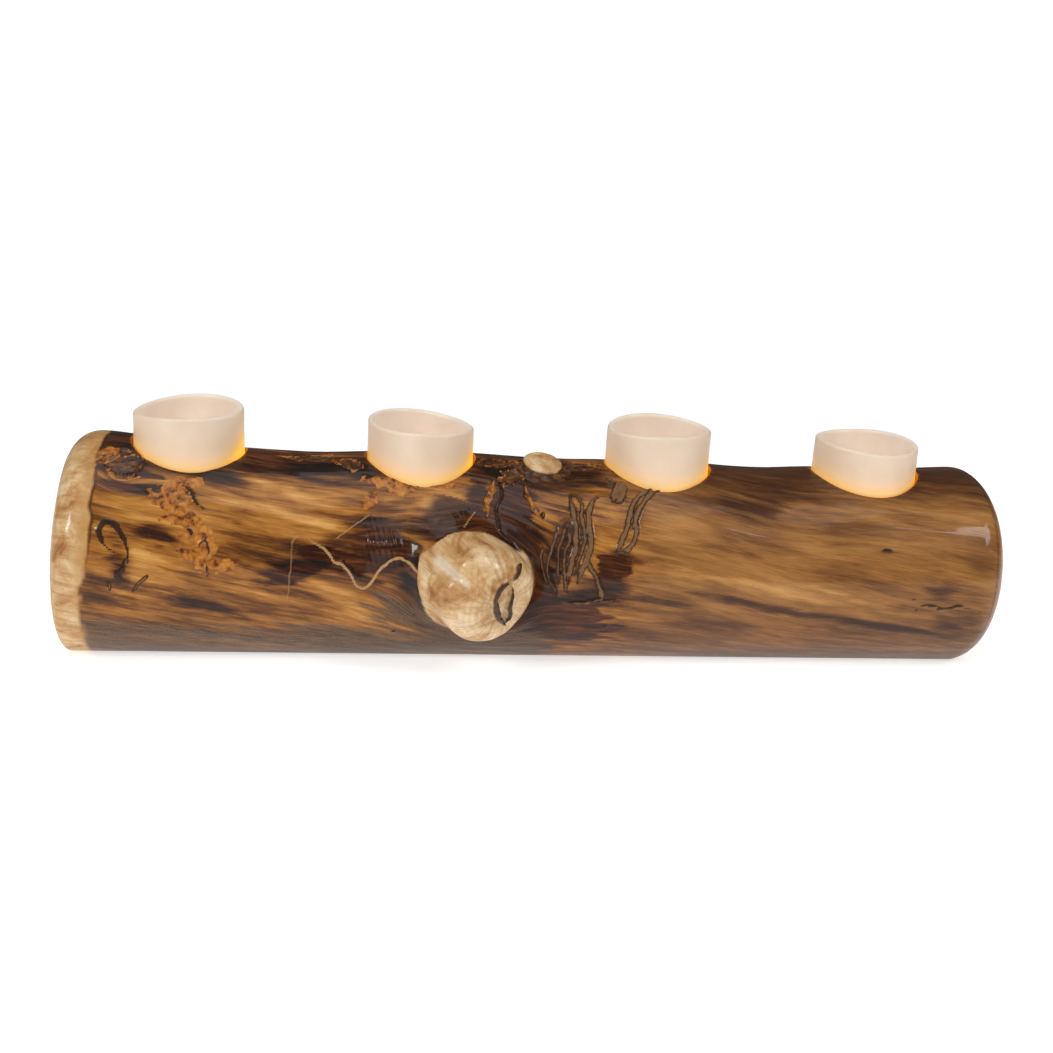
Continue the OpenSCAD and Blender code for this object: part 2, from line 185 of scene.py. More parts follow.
class Skin:
    """The log's grid of points, with where each one lies on the skin and what is painted there."""

    def __init__(self, u, v, across):
        self.u, self.v, self.across = u, v, across
        self.height = np.zeros_like(u)
        self.masks = {}

    def mask(self, name):
        return self.masks.setdefault(name, np.zeros_like(self.u))

    def distance(self, points, wobble, seed):
        """Distance to a line through the points, and how far along it the nearest place is."""
        line = curve(points)
        reach = 12
        low, high = line.min(0) - reach, line.max(0) + reach
        inside = (self.u > low[0]) & (self.u < high[0]) & (self.v > low[1]) & (self.v < high[1])
        p = np.stack([self.u[inside], self.v[inside]], -1)
        p = p + wobble * np.stack([field(p[:, 0], p[:, 1], 2.5, 2.5, seed),
                                   field(p[:, 0], p[:, 1], 2.5, 2.5, seed + 1)], -1)
        best, along = line_distance(p, line)
        full, place = np.full_like(self.u, FAR), np.zeros_like(self.u)
        full[inside], place[inside] = best, along
        return full, place

    def stroke(self, points, width, ends, wobble, seed):
        """1 along a line of that width, 0 beside it; it narrows towards its ends."""
        d, along = self.distance(points, wobble, seed)
        half = width / 2 * np.clip(np.minimum(along, 1 - along) / ends, 0.35, 1)
        return smooth((half + 0.45 - d) / 0.9)

    def reach(self, x, a, rx, rv, turn):
        """Distance from the middle of an oval, as a share of its half sizes in mm."""
        du, dv = self.u - x, self.v - a * ARC_MM
        p, q = du * cos(turn) + dv * sin(turn), dv * cos(turn) - du * sin(turn)
        return np.hypot(p / rx, q / rv)

    def blob(self, x, a, rx, rv, turn, edge, seed):
        """1 inside an oval with a ragged edge."""
        ragged = (field(self.u, self.v, 4.5, 3.2, seed)
                  + 0.6 * field(self.u, self.v, 1.8, 1.5, seed + 7))
        return smooth((1 - self.reach(x, a, rx, rv, turn) + edge * ragged) / 0.4)

    def smear(self, x, a, rx, rv, turn, seed, soft=0.9):
        """A soft oval that breaks up into streaks along the grain at its edge."""
        streaks = (field(self.u, self.across, 16, 2.2, seed)
                   + 0.6 * field(self.u, self.across, 7, 0.9, seed + 7))
        return smooth((1.1 - self.reach(x, a, rx, rv, turn) + 0.38 * streaks) / soft)

    def paint(self, name, amount):
        self.masks[name] = np.maximum(self.mask(name), amount)

    def cloud(self, name, amount):
        self.masks[name] = self.mask(name) + amount


# ---- Marks on the log, read off the photograph
# Clouds of tone: place, half sizes in mm, tilt, and how much lighter (+) or darker (-)
CLOUDS = [
    # butt end
    (-192, 56, 18, 4, -8, -0.45), (-188, 46, 22, 3, -10, -0.5), (-165, 60, 30, 5, -5, -0.35),
    (-175, 23, 11, 5, -12, -0.4), (-150, 24, 26, 10, -8, 0.12), (-192, 38, 14, 4, 0, 0.12),
    (-191, 8, 6, 9, 10, -0.45), (-165, -12, 34, 5, -8, -0.35), (-200, -8, 14, 7, 0, -0.25),
    (-185, -3, 24, 3, -6, -0.15), (-140, -3, 22, 4, -8, 0.2), (-150, 45, 12, 5, -6, 0.05),
    # candles 1 to 2
    (-120, 53, 26, 4, -14, 0.42), (-108, 45, 24, 3, -16, 0.36), (-128, 66, 24, 5, -8, -0.3),
    (-105, 60, 24, 2.5, -14, -0.3), (-112, 36, 22, 3, -14, 0.24), (-135, 42, 24, 4, -10, 0.1),
    (-118, 8, 15, 7, 12, -0.5), (-104, 15, 14, 5, -18, -0.45), (-88, 28, 18, 7, 22, -0.5),
    (-78, 16, 20, 10, 0, -0.7), (-100, 0, 28, 4, -14, 0.12), (-95, -10, 24, 3, -14, 0.05),
    (-107, -8, 22, 3, -14, -0.25), (-62, -4, 7, 14, 14, -0.5), (-66, 4, 10, 6, 20, -0.3),
    (-100, 78, 22, 6, 0, -0.45), (-88, 68, 10, 5, -30, -0.4), (-152, 68, 24, 7, -6, -0.35),
    (-118, 70, 20, 6, -6, -0.3),
    # candle 2 and the stub
    (-53, 47, 12, 3, 2, 0.5), (-66, 43, 14, 3, -4, 0.1), (-48, 40, 16, 3, 12, -0.55),
    (-50, 33, 20, 4, 4, -0.35), (-66, 31, 18, 3, 0, -0.25), (-40, 60, 12, 4, 10, 0.05),
    (-33, 50, 7, 12, 0, -0.65), (-18, 48, 12, 16, 0, -0.85), (-12, 20, 12, 14, 0, -0.6),
    (-20, 75, 16, 9, 0, -0.4), (-8, -8, 14, 14, 0, -0.75), (8, -22, 24, 10, -6, -1.0),
    (-2, 8, 8, 14, 0, -0.45), (14, -8, 20, 6, -4, -0.45), (-30, -42, 40, 8, 0, -0.6),
    # galleries and candle 3
    (14, 74, 14, 7, -12, -0.8), (25, 62, 10, 3, -20, -0.3), (16, 57, 18, 3, -8, 0.2),
    (8, 26, 13, 20, -4, -0.5), (30, 15, 10, 9, 0, -0.6), (24, 2, 14, 6, -6, -0.45),
    (30, 40, 8, 9, 0, 0.22), (55, 34, 22, 12, -4, 0.2), (58, 10, 26, 9, -6, 0.16),
    (50, -5, 22, 3, -8, -0.3), (70, 52, 26, 6, -4, -0.22), (46, 66, 14, 5, -10, 0.1),
    (74, -18, 40, 4, -12, -0.12), (60, -13, 24, 3, -10, 0.14),
    # thin end
    (96, 50, 18, 8, -4, -0.34), (119, 55, 9, 4, -6, 0.2), (100, 28, 24, 7, -4, -0.08),
    (112, 2, 44, 4.5, -10, 0.3), (100, -7, 34, 2.6, -10, -0.42), (150, -17, 46, 2.6, -11, -0.4),
    (176, -24, 34, 3.5, -9, -0.3), (150, 38, 40, 5, -3, -0.12), (186, 2, 10, 5, 0, -0.3),
    (160, 24, 9, 1.6, -2, -0.35), (178, 60, 26, 4, -8, -0.12), (130, 70, 30, 6, -4, -0.1),
    (190, 46, 20, 6, -4, 0.08), (140, 12, 30, 6, -6, 0.02), (206, 20, 8, 20, 0, -0.1),
    (95, -22, 30, 5, -8, -0.12), (198, -16, 14, 8, 0, -0.25),
]
# Insect galleries: points, width and depth in mm
GALLERIES = [
    ([(2, 34), (1, 26), (-1, 19), (-2, 10), (1, 2), (3, -4)], 1.2, 0.7),
    ([(6, 36), (5, 28), (3, 22), (3, 12), (4, 3)], 1.2, 0.8),
    ([(8, 34), (8, 26), (6, 20), (6, 10), (7, 1), (8, -3)], 1.2, 0.8),
    ([(9, 52), (10, 44), (11, 34), (11, 24), (9, 14), (8, 4)], 2.0, 1.1),
    ([(10, 53), (14, 49), (14, 38), (15, 28), (13, 18), (11, 8)], 1.3, 0.8),
    ([(22, 52), (18, 45), (17, 34), (18, 24), (15, 14), (12, 4)], 2.2, 1.0),
    ([(-4, 24), (-5, 16), (-4, 8), (-1, 2)], 1.1, 0.5),
    ([(48, 59), (42, 54), (38, 47), (36, 38), (33, 29), (30, 21)], 1.9, 1.1),
    ([(52, 58), (46, 53), (42, 46), (39, 38), (39, 30), (36, 23), (30, 21)], 1.9, 1.1),
    ([(16, 16), (20, 9), (23, 1), (25, -6)], 1.8, 1.0),
    ([(8, -7), (16, -8), (22, -6), (32, -6)], 1.1, 0.7),
    ([(34, 64), (32, 58), (29, 50)], 3.4, 1.2),
    ([(35, 62), (34, 54), (31, 49)], 3.0, 1.2),
    ([(28, 68), (30, 64), (29, 61)], 1.2, 0.6),
    ([(-186, -7), (-183, -2), (-179, 2)], 1.0, 0.5),
    ([(-196, -2), (-195, -6)], 0.9, 0.4),
]
# The curled gallery near the butt, then open slits, holes and cracks: points, width and depth
SLITS = [
    ([(-193, 13), (-197, 16), (-200, 22), (-198, 27), (-194, 27), (-190, 22), (-188, 15),
      (-188, 8)], 2.6, 0.6),
    ([(-188, 11), (-190, 5), (-192, 2), (-189, -2)], 2.6, 0.4),
    ([(-167, 51), (-163, 48), (-160, 42), (-156, 37)], 1.9, 1.0),
    ([(-163, 28), (-161, 26), (-161, 22)], 1.2, 0.9),
    ([(-158, 18), (-155, 21), (-153, 17), (-154, 13)], 1.2, 0.9),
    ([(-154, 10), (-153, 5), (-154, 3)], 1.1, 0.8),
    ([(-186, 67), (-183, 63), (-185, 58), (-189, 54), (-194, 53)], 1.5, 0.9),
    ([(175, -13), (178, -7), (183, -6), (190, -8), (196, -6), (203, -8), (208, -10)], 1.5, 0.6),
    ([(172, -1), (175, -3)], 0.8, 0.4),
    ([(-94, 14), (-90, 8), (-86, 3)], 3.0, 0.8),
    ([(-38, 44), (-44, 41), (-50, 39), (-58, 37)], 1.3, 0.8),
    ([(-24, 61), (-23, 52), (-25, 44), (-24, 30), (-20, 22)], 1.4, 0.9),
    ([(-4, 42), (-4, 38)], 1.6, 1.0),
    ([(-72, -29), (-70, -28)], 1.8, 0.8),
    ([(26, -24), (29, -21)], 1.6, 0.8),
    ([(156, 24.5), (160, 25), (165, 24)], 1.3, 0.3),
    ([(94, 6), (97, 5)], 0.8, 0.3),
]
# The pale thread of a leaf miner, and three short scratches
MINER = [(-59, 3), (-61, 8), (-65, 13), (-69, 15.5), (-73, 14), (-77, 10), (-80, 5), (-83, 0),
         (-86, -1), (-89, 2), (-91, 7), (-94, 11), (-98, 13), (-100, 16), (-103, 20), (-107, 23),
         (-111, 26), (-115, 26), (-117, 22), (-117, 12), (-118, 5), (-118, -2), (-119, -9)]
SCRATCHES = [[(-82, 39), (-90, 32), (-99, 24)], [(-34, 43), (-40, 39), (-46, 35)],
             [(-20, 20), (-14, 12), (-11, 8)]]
# Ridges of orange inner bark left standing
RIDGES = [
    ([(-26, 62), (-27, 55), (-29, 48), (-30, 40)], 2.6, 0.9),
    ([(-12, 58), (-10, 50), (-8, 44), (-5, 39)], 1.8, 1.0),
    ([(-17, 88), (-15, 76), (-12, 64)], 2.0, 0.6),
]
# Scars where the inner bark shows: place, half sizes in mm, tilt
SCARS = [
    (-171, 45, 8, 8, 10), (-167, 35, 9, 8, -30), (-160, 27, 11, 6, -30), (-156, 17, 8, 8, -20),
    (-151, 9, 9, 4, 0), (-164, 52, 7, 4, 0), (-72, 57, 14, 6, -8), (-82, 46, 5, 5, 20),
    (-52, 58, 10, 2.6, 6), (-105, 88, 8, 2.5, 0), (-92, 76, 6, 4, -30),
    (-206, 62, 4, 9, -20), (-199, 70, 4, 5, -50),
]
# Flakes of dark bark left on: place, half sizes in mm, tilt, height
FLAKES = [
    (-193, 62, 9, 8.5, -8, 0.9), (-112, 84, 14, 4, -4, 0.8), (-92, 74, 7, 5, -30, 0.6),
    (-26, 82, 9, 6, 0, 0.7), (-18, 66, 5, 7, 0, 0.5), (17, 82, 12, 5, -10, 0.6),
]
# Near-black stains
STAINS = [
    (-77, 19, 14, 10, 0), (-91, 10, 12, 8, -14), (-104, 17, 14, 4, -14), (-117, 6, 12, 4.5, 10),
    (-18, 46, 13, 19, 0), (-33, 52, 5, 14, 0), (-46, 39, 14, 2.2, 10), (-12, 20, 8, 14, 0),
    (-6, -2, 9, 14, 0), (8, -14, 20, 8, -4), (4, -28, 30, 9, -4), (-32, -44, 40, 8, 0),
    (28, 13, 9, 8, 10), (16, 77, 12, 5, -14), (8, 68, 5, 5, 0), (-22, 78, 12, 5, 0),
    (-57, -4, 4, 12, 14), (-60, 12, 6, 5, 20),
    (180, -46, 26, 2.4, 0), (-110, 80, 20, 3, -4), (-190, 56, 14, 2.5, -6), (-190, 46, 16, 2, -9),
]


def draw_marks(skin):
    u, v = skin.u, skin.v
    for i, (x, a, rx, rv, turn, tone_and_shade) in enumerate(CLOUDS):
        skin.cloud("tone_and_shade", tone_and_shade * skin.smear(x, a, rx, rv, turn, 100 + i))
    for i, (x, a, rx, rv, turn) in enumerate(STAINS):
        skin.paint("stain_and_shade", skin.smear(x, a, rx, rv, turn, 300 + i, 0.7))
    for i, (x, a, rx, rv, turn) in enumerate(SCARS):
        scar = skin.blob(x, a, rx, rv, turn, 0.45, 400 + i)
        skin.paint("orange", scar)
        skin.height -= 0.35 * scar * (1 + 0.5 * field(u, v, 1.6, 1.4, 41))
    for i, (x, a, rx, rv, turn, rise) in enumerate(FLAKES):
        flake = skin.blob(x, a, rx, rv, turn, 0.4, 500 + i)
        skin.paint("bark", flake)
        skin.paint("orange", 0.9 * smooth(flake * 6) * (flake < 0.5))
        skin.height += rise * flake * (1 + 0.35 * field(u, v, 3, 2.2, 51))
    for i, (points, width, rise) in enumerate(RIDGES):
        ridge = skin.stroke(points, width, 0.3, 0.7, 600 + i)
        skin.paint("orange", 1.6 * ridge)
        skin.masks["stain_and_shade"] *= 1 - ridge
        skin.height += rise * ridge
    for i, (points, width, depth) in enumerate(GALLERIES):
        groove = skin.stroke(points, 1.25 * width, 0.12, 0.5, 700 + i)
        skin.paint("groove", groove)
        skin.height -= depth * groove
    for i, (points, width, depth) in enumerate(SLITS):
        slit = skin.stroke(points, width, 0.3, 0.6, 800 + i)
        skin.paint("slit", slit)
        skin.height -= depth * slit
    thread = skin.stroke(MINER, 1.2, 0.02, 0.3, 900)
    for i, points in enumerate(SCRATCHES):
        thread = np.maximum(thread, 0.75 * skin.stroke(points, 0.8, 0.1, 0.1, 910 + i))
    fade = 1 - 0.45 * smooth((-100 - u) / 12)
    skin.paint("thread", thread * fade)
    skin.height -= 0.25 * thread
    turn = v / ARC_MM
    # Painted shade: the top of the log is darkened, and its underside too
    top_shade = smooth((turn - 46) / 30) * smooth((135 - turn) / 30)
    skin.cloud("tone_and_shade", -0.34 * top_shade - 0.14 * smooth((-6 - turn) / 20))
    # The glossy hollow with its ribs, left of the stub
    hollow = np.exp(-((u + 76) / 7.5) ** 2 - ((v - 18) / 8) ** 2)
    ribs = np.sin((u + 0.25 * v) * 2 * np.pi / 2.6) + 0.6 * field(u, v, 1.6, 4, 61)
    skin.height -= hollow * (3.2 + 0.42 * ribs)
    skin.paint("stain_and_shade", smooth(1.6 * hollow))
    # Long shallow flutes along the grain, shallower towards the thin end
    slope = skin.across
    wild = lerp(1.0, 0.45, smooth((u - 15) / 50))
    skin.mask("wild")[:] = wild
    flutes = 0.16 * field(u, slope, 30, 3.2, 71) + 0.08 * field(u, slope, 14, 1.5, 72)
    skin.height += wild * flutes
    # Grey, weathered wood along the bottom, and below the hollow
    low = turn + 6 * field(u, slope, 24, 3, 73) + 3 * field(u, slope, 9, 1.3, 76)
    weather = smooth((-18 - low) / 16) * smooth((10 - u) / 20)
    weather = weather + 0.8 * smooth((-32 - low) / 14) * smooth((u - 60) / 30)
    weather = np.maximum(weather, skin.smear(-68, -16, 26, 9, -16, 75))
    skin.paint("weather", weather)
    return skin


# ---- Log


# Stretches of the plain skin, with the spacing of their rows; the marks are finest near the stub
PLAIN_ROWS = [(-PLAIN_HALF, -145, 0.8), (-145, -122, 1.6), (-122, -85, 0.8), (-85, -5, 0.5),
              (-5, 56, 0.8), (56, PLAIN_HALF, 2.2)]
COLUMNS = {"front": 122, "crest": 42, "back": 30, "flat": 5}
CREST_FROM, CREST_TO = 62, 110


def spaced(start, stop, step):
    return list(np.linspace(start, stop, int(math.ceil((stop - start) / step)) + 1)[:-1])


def ring_rows():
    """Rows of the grid: side, turn over the rim, share of the way from rim to plain skin, and x."""
    turns = np.linspace(0, 90, 13)[:-1]
    runs = np.linspace(0, 1, 8)[:-1]
    plain = [PLAIN_HALF]
    for start, stop, step in PLAIN_ROWS:
        plain += spaced(start, stop, step)
    rows = [(-1, t, 0, -HALF) for t in turns] + [(-1, 90, s, -HALF) for s in runs]
    rows += [(0, 90, 0, x) for x in sorted(plain)]
    rows += [(1, 90, s, HALF) for s in runs[::-1]] + [(1, t, 0, HALF) for t in turns[::-1]]
    return rows


def ring_angles(heel):
    front = np.linspace(-heel, CREST_FROM, COLUMNS["front"], endpoint=False)
    crest = np.linspace(CREST_FROM, CREST_TO, COLUMNS["crest"], endpoint=False)
    back = np.linspace(CREST_TO, 180 + heel, COLUMNS["back"])
    return np.concatenate([front, crest, back])


def put_in_scene(name, data):
    thing = bpy.data.objects.new(name, data)
    bpy.context.scene.collection.objects.link(thing)
    return thing


def set_attribute(mesh, name, values):
    attribute = mesh.attributes.new(name, "FLOAT", "POINT")
    attribute.data.foreach_set("value", values.astype(np.float32))


def log_grid():
    """Points of the trunk before any stub or mark, with each one's place on the skin."""
    points, places = [], []
    for side, turn, share, x in ring_rows():
        foot_r = trunk_r(x) - foot_round(side) * (1 - sin(turn))
        heel = np.degrees(np.arcsin(min(0.98, pith_z(x) / foot_r)))
        a = ring_angles(heel)
        if side:
            edge = round_at(side, a)
            rim = side * (HALF - edge * (1 - cos(turn)))
            place = lerp(rim, side * PLAIN_HALF, share)
            cut = edge * (1 - sin(turn))
        else:
            place, cut = np.full_like(a, x), 0
        r = trunk_r(place) + lump(place, a) - cut
        ring = np.stack([place, -r * cos(a), np.maximum(0, pith_z(place) + r * sin(a))], -1)
        flat = np.linspace(0, 1, COLUMNS["flat"] + 2)[1:-1, None]
        points.append(np.vstack([ring, lerp(ring[-1], ring[0], flat)]))
        around = np.append(a, lerp(a[-1], a[-1] + 60, flat[:, 0]))
        over = cut if side else 0 * a
        over = np.append(over, np.full(len(flat), np.max(over)))
        place = np.append(place, np.full(len(flat), place[0]))
        places.append(np.stack([place, around * ARC_MM, over], -1))
    return np.array(points), np.array(places)


def grid_normals(p):
    along = np.gradient(p, axis=0)
    around = (np.roll(p, -1, axis=1) - np.roll(p, 1, axis=1)) / 2
    n = np.cross(around, along)
    return n / np.maximum(np.linalg.norm(n, axis=-1), 1e-9)[..., None]


def flow(u, v):
    """Where the grain runs: it slopes around the trunk, and parts around the stub and the knot."""
    across = v + 0.17 * u + 1.6 * field(u, v, 60, 16, 81)
    for x, y, r in ((STUB_X, 3, 23), (KNOT_X, 68, 11), (-193, 50, 7)):
        away = np.maximum((u - x) ** 2 + (v - y) ** 2, r * r)
        across = across - (v - y) * r * r / away
    return across


# Where the stub's pale skin begins: degrees around its axis from the left, and mm out along it
STUB_FOOT = [(-180, 2), (-90, -6), (-22, -8), (0, -10), (26, -14), (46, -12), (72, -9), (100, -3),
             (125, 6), (180, 2)]
RIDGE_TURN, FACET_HALF, FACET_R = 33, 28, 24   # the stub's ridge, its flats' half width, mm out
# Marks on the stub, in mm to the left of its axis, above it and out along it
HEART_LEFT = [(-4, 14.5, 20), (1, 12.5, 21), (4.5, 9.5, 21), (5.5, 4, 21), (2.5, -4, 21),
              (-2, -9, 21), (-5.5, -12, 20)]
HEART_RIGHT = [(-2, 11.5, 21), (-4.5, 5, 21), (-3.5, -1, 21), (-5.5, -5, 21), (-3.5, -8, 21),
               (-5.5, -12, 20)]
HEART_TAIL = [(-3, 13, 20.5), (-5, 15.5, 19.5), (-7.5, 18, 18)]
NICKS = [[(22, -9, -3), (21.5, -7, 5), (21, -6, 9)], [(-4, 21, 6), (-8, 20, 9), (-9, 19, 13)],
         [(8, 22, 2), (2, 22, 5)]]


def stub_local(p):
    """Places relative to the stub: left of its axis, above it and out along it."""
    left = np.cross(STUB_AXIS, (0, 0, 1))
    left /= np.linalg.norm(left)
    q = p - STUB_ROOT
    return np.stack([q @ left, q @ np.cross(left, STUB_AXIS), q @ STUB_AXIS], -1)


def stub_marks(skin, local):
    """The open heart crack, two flats with a ridge and a painted highlight along it, nicks and fine
    lumps on the stub.
    """
    on, height = skin.masks["stub"], skin.height
    left, above, out = np.moveaxis(local, -1, 0)
    near = on > 0.01
    p = local[near]
    wobble = 0.5 * np.stack([field(p[:, 0], p[:, 1], 2.2, 2.2, seed) for seed in (21, 22, 23)], -1)

    def mark(points, width, ends=0.25):
        corners = np.array(points, float)
        line = np.array([lerp(a, b, t) for a, b in zip(corners[:-1], corners[1:])
                         for t in np.linspace(0, 1, 5)[:-1]] + [corners[-1]])
        d, along = line_distance(p + wobble, line)
        half = width / 2 * np.clip(np.minimum(along, 1 - along) / ends, 0.3, 1)
        full = np.zeros_like(on)
        full[near] = smooth(half + 0.5 - d)
        return full * on
    heart = np.maximum(mark(HEART_LEFT, 2.6), mark(HEART_RIGHT, 2.0))
    heart = np.maximum(heart, mark(HEART_TAIL, 2.6, 0.1))
    skin.paint("slit", heart)
    island = np.hypot((left - 0.5) / 4.2, (above - 1) / 9.5)
    island = on * smooth((1 - island) / 0.4) * smooth((out - 12) / 4)
    skin.paint("orange", 0.55 * island)
    height -= 3.0 * heart + 0.7 * island
    # Two flat facets which meet in a ridge
    from_ridge = np.abs(np.degrees(np.arctan2(above, left)) - RIDGE_TURN)
    from_middle = FACET_HALF - np.minimum(from_ridge, 2 * FACET_HALF)
    facet = FACET_R * (cos(FACET_HALF) / cos(from_middle) - 1)
    height += facet * on * smooth((17 - out) / 8)
    wander = 2 * field(out, left, 7, 50, 24)
    ridge = on * smooth((5 - np.abs(from_ridge + wander)) / 3) * smooth((out + 8) / 4)
    ridge = ridge * smooth((19 - out) / 4)
    # Painted highlight: a near-white line painted along the ridge
    skin.paint("painted_highlight", ridge)
    height += 0.5 * ridge
    for points in NICKS:
        nick = mark(points, 2.2)
        skin.paint("bark", 0.75 * nick)
        height -= 0.5 * nick
    lumps = 0.5 * field(left + 0.4 * out, above, 9, 8, 26)
    height += on * (lumps + 0.14 * field(left + out, above - 0.3 * out, 2.4, 2.4, 27))


def build_log():
    p, place = log_grid()
    u, v, over = place[..., 0], place[..., 1], place[..., 2]
    p, stub_s = sprout(p, STUB_ROOT, STUB_AXIS, STUB)
    p, knot_s = sprout(p, KNOT_ROOT, KNOT_AXIS, KNOT)
    across = flow(u, v)
    skin = draw_marks(Skin(u, v, across))
    height, masks = skin.height, skin.masks
    ragged = 2.0 * field(u, v, 9, 9, 31) + 1.0 * field(u, v, 2.5, 2.5, 32)
    local = stub_local(p)
    left, above, out = np.moveaxis(local, -1, 0)
    stub_radius = np.hypot(left, above)
    foot = np.interp(np.degrees(np.arctan2(above, left)), *np.array(STUB_FOOT).T)
    masks["stub"] = smooth((26 - stub_radius) / 1.2) * (stub_s < FAR)
    masks["stub"] *= smooth((out - foot + 0.5 * ragged) / 2)
    masks["knot"] = smooth((0.55 * KNOT["reach"] + 0.2 * ragged - knot_s) / 1.2) * (knot_s < FAR)
    neck = smooth((16.5 + 0.5 * ragged - knot_s) / 2) * (1 - masks["knot"]) * (knot_s < FAR)
    neck *= smooth((72 - v) / 6)
    skin.paint("bark", 0.9 * neck)
    butt_line = -204.5 - 5 * smooth((25 - v / ARC_MM) / 50) + 0.8 * field(u, v, 30, 5, 33)
    masks["end"] = np.where(u < 0, smooth((butt_line - u) / 1.2 + 0.5), smooth(over - 2.5))
    bare = np.maximum(np.maximum(masks["stub"], masks["knot"]), masks["end"])
    for name in ("tone_and_shade", "stain_and_shade", "groove", "thread", "weather"):
        keep = 1 - masks["stub"] * (0.6 if name == "weather" else 1)
        masks[name] = masks[name] * keep * (1 - 0.8 * masks["knot"])
    height *= 1 - np.maximum(masks["stub"], np.maximum(masks["knot"], 0.8 * masks["end"]))
    # The crevice around the foot of the stub, sunk 0.5 mm, with painted shade in it that fades out
    # towards its left
    crevice = smooth((stub_s - 18) / 4) * smooth((33 - stub_s) / 6) * (1 - masks["stub"])
    skin.paint("stain_and_shade", 0.8 * crevice * smooth((u + 62) / 25 + 0.3))
    height -= 0.5 * crevice
    height += 0.7 * neck * field(u, v, 3.5, 3.5, 36)
    normals = grid_normals(p)
    stub_marks(skin, local)
    knot_radius = np.linalg.norm(np.cross(p - KNOT_ROOT, KNOT_AXIS), axis=-1)
    rings = np.where(knot_s < FAR, knot_radius, np.where(stub_s < FAR, stub_radius, 0))
    on_stub = masks["stub"] > 0.4
    across = np.where(on_stub, STUB["d"] / 2 * np.arctan2(above, -left), across)
    run = np.where(on_stub, out, u)
    masks["bare"] = bare
    edge_line = np.exp(-(u - butt_line - 0.8) ** 2) * smooth((v + 10) / 30)
    edge_line = edge_line + 0.8 * np.exp(-((over - 2.0) / 0.8) ** 2) * (u > 0)
    skin.paint("stain_and_shade", 0.5 * edge_line)
    off_base = smooth(p[..., 2] / 4) * (np.arange(p.shape[1]) < p.shape[1] - COLUMNS["flat"])
    p = p + normals * (height * off_base)[..., None]
    p[..., 2] = np.maximum(p[..., 2], 0)
    p[..., 0] = np.clip(p[..., 0], -HALF, HALF)

    # End faces: rings of points that shrink onto the pith
    shrink = np.linspace(0, 1, 13)[1:-1]
    caps = []
    for row, side in ((0, -1), (-1, 1)):
        centre = np.array([side * HALF, 0, pith_z(side * HALF)])
        disc = [lerp(p[row], centre, t) for t in shrink]
        for i, ring in enumerate(disc):
            y, z = ring[:, 1], ring[:, 2]
            rough = 0.25 * field(y, z, 6, 6, 34) + 0.12 * field(y, z, 1.5, 9, 35)
            ring[:, 0] -= side * (0.25 + rough) * smooth((i + 1) / 3)
        caps.append((disc, centre))
    body = [caps[0][0][::-1], p, caps[1][0]]
    rows = np.concatenate([np.array(part) for part in body])
    count, m = rows.shape[:2]
    centres = np.array([caps[0][1], caps[1][1]])
    co = np.concatenate([rows.reshape(-1, 3), centres]) * MM

    index = np.arange(count * m).reshape(count, m)
    right = np.roll(index, -1, axis=1)
    quads = np.stack([index[:-1], index[1:], right[1:], right[:-1]], -1).reshape(-1, 4)
    fan_butt = [(count * m, index[0, j], right[0, j]) for j in range(m)]
    fan_tip = [(count * m + 1, right[-1, j], index[-1, j]) for j in range(m)]
    mesh = bpy.data.meshes.new("log_skin")
    mesh.from_pydata(co.tolist(), [], quads.tolist() + fan_butt + fan_tip)

    def spread(values, butt, tip):
        discs = [np.full(len(shrink) * m, float(value)) for value in (butt, tip)]
        return np.concatenate([discs[0], values.ravel(), discs[1], [butt, tip]])
    pith = np.hypot(co[:, 1], co[:, 2] - pith_z(co[:, 0] / MM) * MM) / MM
    ring_at = spread(rings, 0, 0)
    ring_at = np.where((ring_at == 0) & (np.abs(co[:, 0]) > 0.2), pith, ring_at)
    grain = np.stack([spread(run, -HALF, HALF), spread(across, 0, 0), ring_at], -1)
    attribute = mesh.attributes.new("grain", "FLOAT_VECTOR", "POINT")
    attribute.data.foreach_set("vector", grain.astype(np.float32).ravel())
    for name, values in masks.items():
        cap = 1 if name in ("end", "bare") else 0
        set_attribute(mesh, name, spread(values, cap, cap))
    return put_in_scene("log_wood", mesh)


def cut_seats(log, wood, bored):
    """Bores the four seats with true cylinders; the bores take their own material."""
    cutters = []
    for x, floor in zip(SEATS, SEAT_FLOORS):
        mesh = bpy.data.meshes.new("cutter")
        bm = bmesh.new()
        middle = Vector((x, 0, floor + SEAT_CUTTER_H / 2)) * MM
        radius = SEAT_D / 2 * MM
        bmesh.ops.create_cone(bm, cap_ends=True, segments=SEAT_SIDES, radius1=radius,
                              radius2=radius, depth=SEAT_CUTTER_H * MM,
                              matrix=Matrix.Translation(middle))
        bm.to_mesh(mesh)
        bm.free()
        mesh.materials.append(bored)
        cutters.append(put_in_scene("cutter", mesh))
    log.data.materials.append(wood)
    for cutter in cutters:
        cut = log.modifiers.new("seat", "BOOLEAN")
        cut.object = cutter
        cut.operation = "DIFFERENCE"
        cut.solver = "EXACT"
        cut.material_mode = "TRANSFER"
    bpy.context.view_layer.update()
    evaluated = log.evaluated_get(bpy.context.evaluated_depsgraph_get())
    mesh = bpy.data.meshes.new_from_object(evaluated)
    log.modifiers.clear()
    log.data = mesh
    for cutter in cutters:
        bpy.data.objects.remove(cutter)
    mesh.shade_smooth()
    mesh.set_sharp_from_angle(angle=SHARP)


# ---- Wax


def rim_z(k, a):
    one, two = RIMS[k]
    return CANDLE_H + one[0] * cos(a - one[1]) + two[0] * cos(2 * (a - two[1]))


